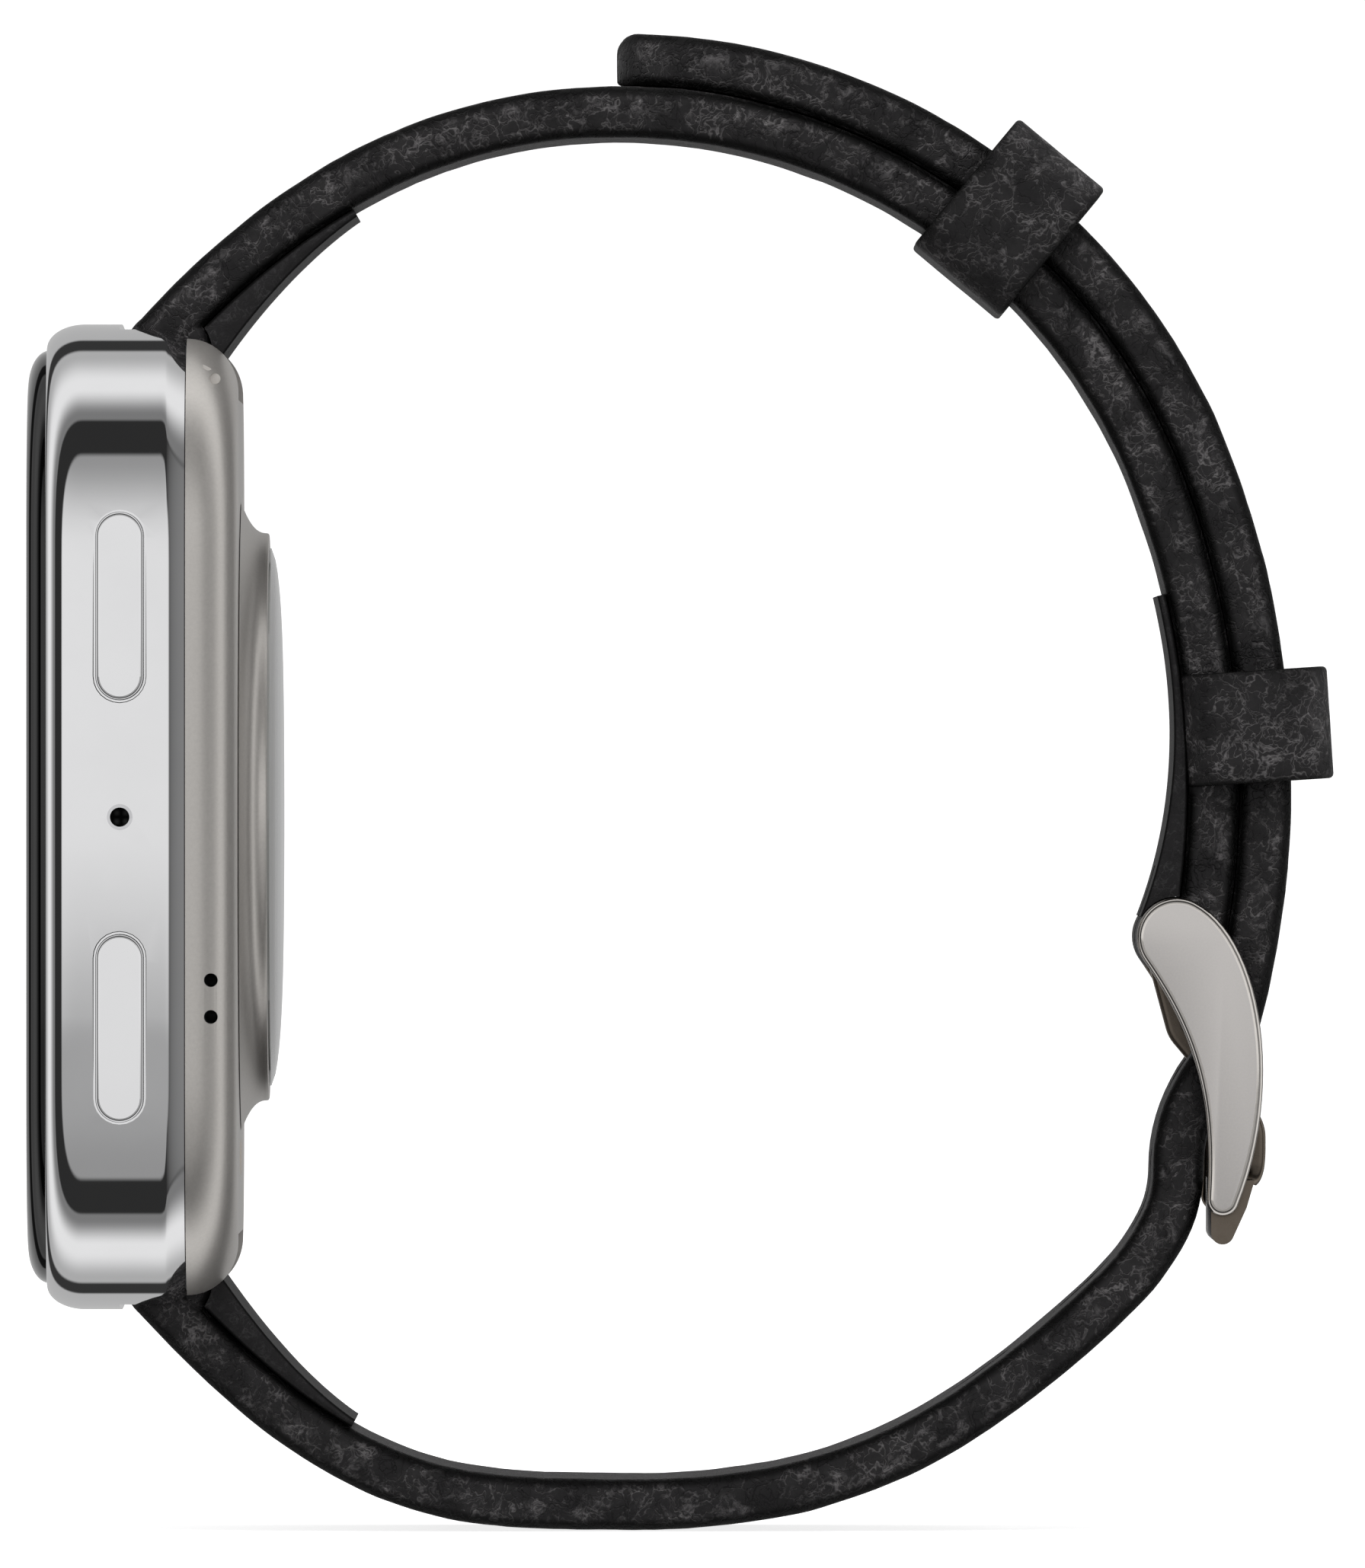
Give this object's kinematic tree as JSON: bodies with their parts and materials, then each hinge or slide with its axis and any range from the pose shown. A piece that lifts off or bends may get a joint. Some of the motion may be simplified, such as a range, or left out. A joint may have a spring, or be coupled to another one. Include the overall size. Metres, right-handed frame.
{
  "type": "smartwatch",
  "caption": "Rounded-rectangle smartwatch with polished steel case, side buttons and rear sensor, on a black crackle-grain leather strap buckled into a loop.",
  "frame": {"origin": "centre of the front glass's outer face", "axes": "+Z towards twelve o'clock, -Y out of the display, +X towards the side buttons"},
  "size_m": [0.0368, 0.0569, 0.0655],
  "materials": {
    "polished_steel": "mirror-polished stainless steel",
    "back_cover_coating": "satin coated alloy",
    "cover_glass": "black-backed glass with a glossy face",
    "seal_rubber": "matt",
    "display_panel": "gloss",
    "sensor_lens": "clear gloss",
    "circuit_board": "solder mask",
    "led_resin": "gloss",
    "black_plastic": "fine moulded",
    "gold_contacts": "gold plated",
    "screw_steel": "bright",
    "battery_foil": "crinkled foil",
    "spring_steel": "bright drawn",
    "strap_leather": "crackle-grained, semi-matt",
    "lining_leather": "smooth lining",
    "buckle_steel": "satin faces, polished edges"
  },
  "bodies": {
    "watch": {"case_frame": "polished_steel", "back_cover": "back_cover_coating", "cover_glass": "cover_glass", "display_gasket": "seal_rubber", "display_panel": "display_panel", "back_gasket": "seal_rubber", "sensor_bezel": "back_cover_coating", "sensor_lens": "sensor_lens", "sensor_board": "circuit_board", "sensor_led": "led_resin", "photodiode_left": "black_plastic", "photodiode_right": "black_plastic", "charge_contact_left": "gold_contacts", "charge_contact_right": "gold_contacts", "chassis": "black_plastic", "main_board": "circuit_board", "chassis_screw_1": "screw_steel", "chassis_screw_2": "screw_steel", "chassis_screw_3": "screw_steel", "chassis_screw_4": "screw_steel", "battery": "battery_foil", "shield_can": "screw_steel", "speaker_module": "black_plastic", "vibration_motor": "screw_steel", "microphone": "black_plastic", "microphone_mesh": "spring_steel", "button_bracket": "spring_steel", "upper_strap": "strap_leather", "lower_strap": "strap_leather", "upper_lug_tab": "lining_leather", "lower_lug_tab": "lining_leather", "buckle_tab": "lining_leather", "fixed_keeper": "strap_leather", "upper_button_seal": "seal_rubber", "upper_button_switch": "black_plastic", "upper_spring_bar": "spring_steel", "upper_bar_spring": "spring_steel", "lower_button_seal": "seal_rubber", "lower_button_switch": "black_plastic", "lower_spring_bar": "spring_steel", "lower_bar_spring": "spring_steel"},
    "upper_button": {"upper_button": "polished_steel", "upper_button_clip": "spring_steel"},
    "lower_button": {"lower_button": "polished_steel", "lower_button_clip": "spring_steel"},
    "free_keeper": {"free_keeper": "strap_leather"},
    "buckle": {"buckle_frame": "buckle_steel", "buckle_pin": "spring_steel"},
    "tang": {"tang": "buckle_steel"},
    "upper_release": {"upper_release_pin": "spring_steel"},
    "lower_release": {"lower_release_pin": "spring_steel"}
  },
  "joints": [
    {"name": "upper_button_press", "type": "slide", "parent": "watch", "child": "upper_button", "axis": [-1, 0, 0], "range_m": [0, 0.00035], "stiffness_N_per_m": 1200, "springref_m": -0.0002},
    {"name": "lower_button_press", "type": "slide", "parent": "watch", "child": "lower_button", "axis": [-1, 0, 0], "range_m": [0, 0.00035], "stiffness_N_per_m": 1200, "springref_m": -0.0002},
    {"name": "free_keeper_slide", "type": "hinge", "parent": "watch", "child": "free_keeper", "pos_m": [0, 0.0257, 0.00554], "axis": [1, 0, 0], "range_deg": [-20, 24]},
    {"name": "buckle_pivot", "type": "hinge", "parent": "watch", "child": "buckle", "pos_m": [0, 0.05015, -0.00527], "axis": [1, 0, 0], "range_deg": [0, 5]},
    {"name": "tang_pivot", "type": "hinge", "parent": "buckle", "child": "tang", "pos_m": [0, 0.05015, -0.00527], "axis": [1, 0, 0], "range_deg": [0, 7]},
    {"name": "upper_bar_release", "type": "slide", "parent": "watch", "child": "upper_release", "axis": [-1, 0, 0], "range_m": [0, 0.0013], "stiffness_N_per_m": 400, "springref_m": -0.001, "deforming": ["upper_bar_spring"]},
    {"name": "lower_bar_release", "type": "slide", "parent": "watch", "child": "lower_release", "axis": [-1, 0, 0], "range_m": [0, 0.0013], "stiffness_N_per_m": 400, "springref_m": -0.001, "deforming": ["lower_bar_spring"]}
  ]
}
